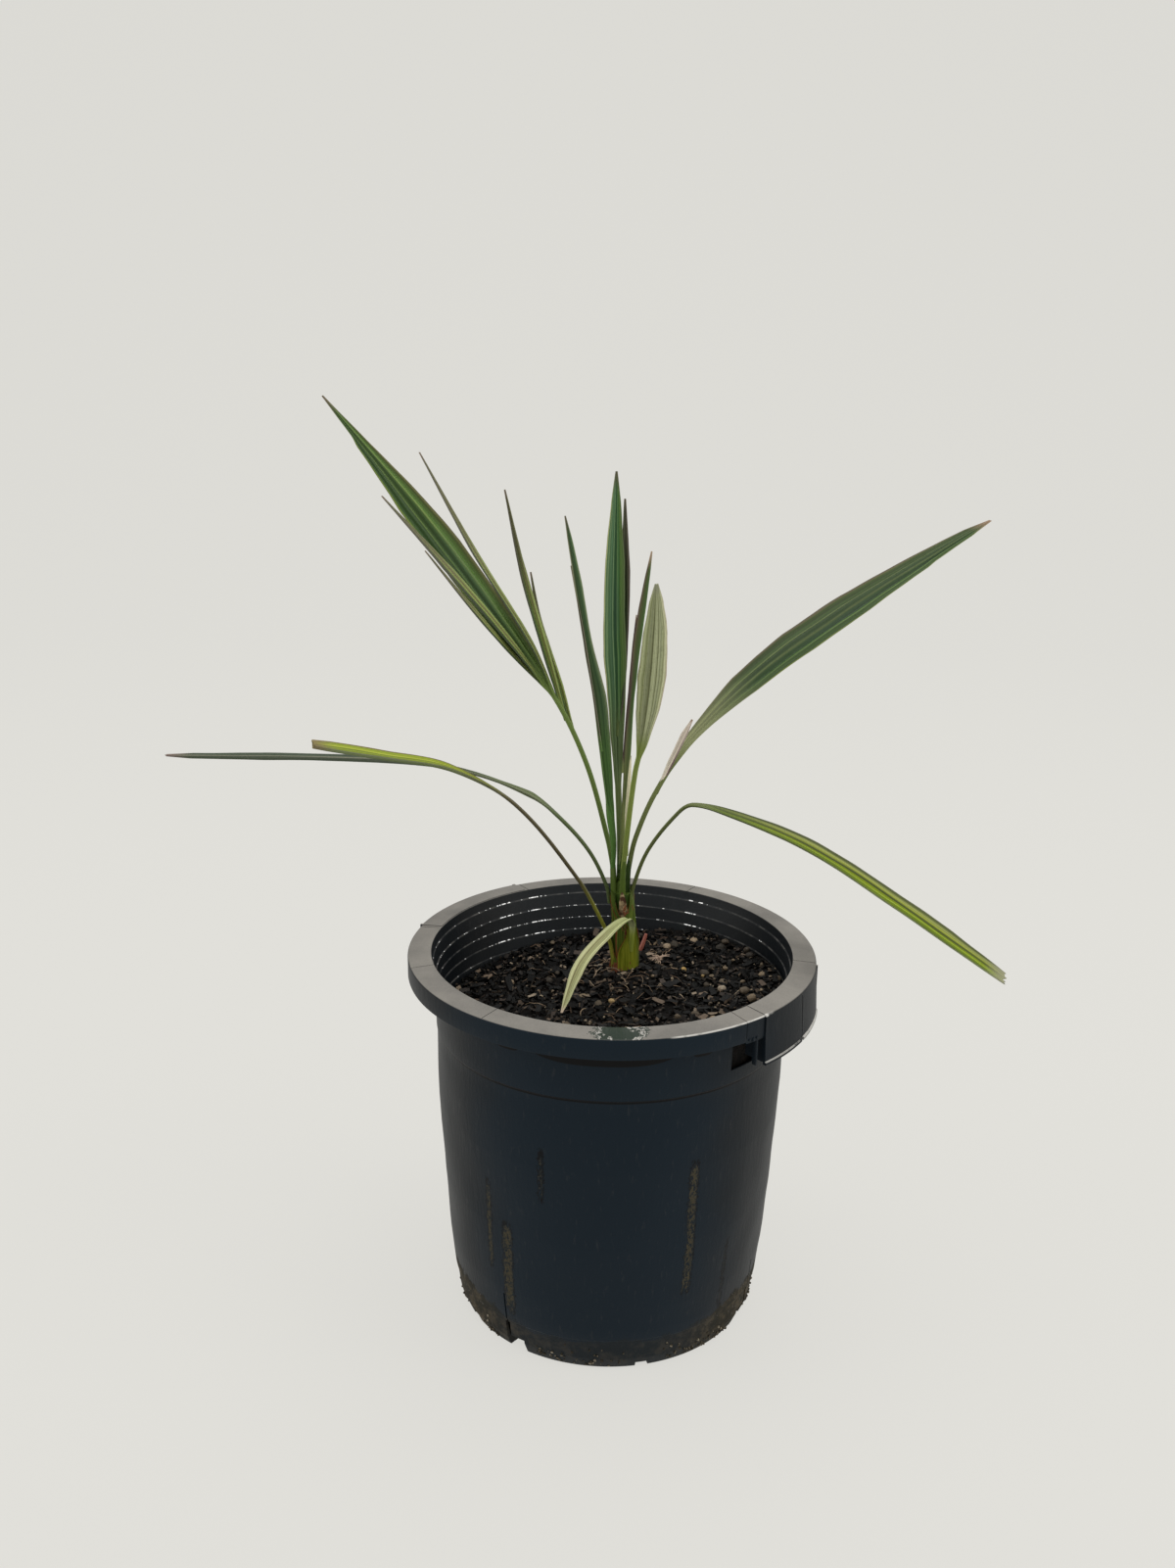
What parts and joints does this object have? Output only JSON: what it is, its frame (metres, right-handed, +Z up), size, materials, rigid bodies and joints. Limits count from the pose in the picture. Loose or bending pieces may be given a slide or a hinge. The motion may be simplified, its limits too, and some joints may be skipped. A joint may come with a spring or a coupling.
{
  "type": "potted date palm",
  "caption": "Young date palm with strap-shaped pleated leaves rising from one stem base, standing in a round black nursery pot filled with dark potting mix.",
  "frame": {"origin": "middle of the flat pad under the pot, on the surface the pot stands on", "axes": "+Z up, -Y towards the side seen in the picture, +X to its right"},
  "size_m": [0.5581, 0.3594, 0.5535],
  "materials": {
    "pot_plastic": "satin black moulded polypropylene, dusty on top of the ring",
    "potting_mix": "damp dark composted bark with grit and root fibres",
    "leaf_sheath": "satin green leaf sheaths with brown fibrous margins",
    "green_leaf": "satin pleated green leaf",
    "dark_leaf": "satin dark green to purple-brown leaf seen on edge",
    "yellow_green_leaf": "satin yellow-green pleated leaf",
    "pale_leaf": "matt pale grey-green leaf underside"
  },
  "bodies": {
    "root": {"pot": "pot_plastic", "potting_mix": "potting_mix", "crown": "leaf_sheath", "frond_back_left": "green_leaf", "frond_centre": "green_leaf", "frond_front_pale": "pale_leaf", "frond_right_upper": "green_leaf", "frond_right_lower": "yellow_green_leaf", "frond_left_long": "dark_leaf", "frond_left_yellow": "yellow_green_leaf", "frond_front_small": "pale_leaf", "frond_left_thin": "green_leaf", "frond_right_thin": "dark_leaf"}
  },
  "joints": []
}
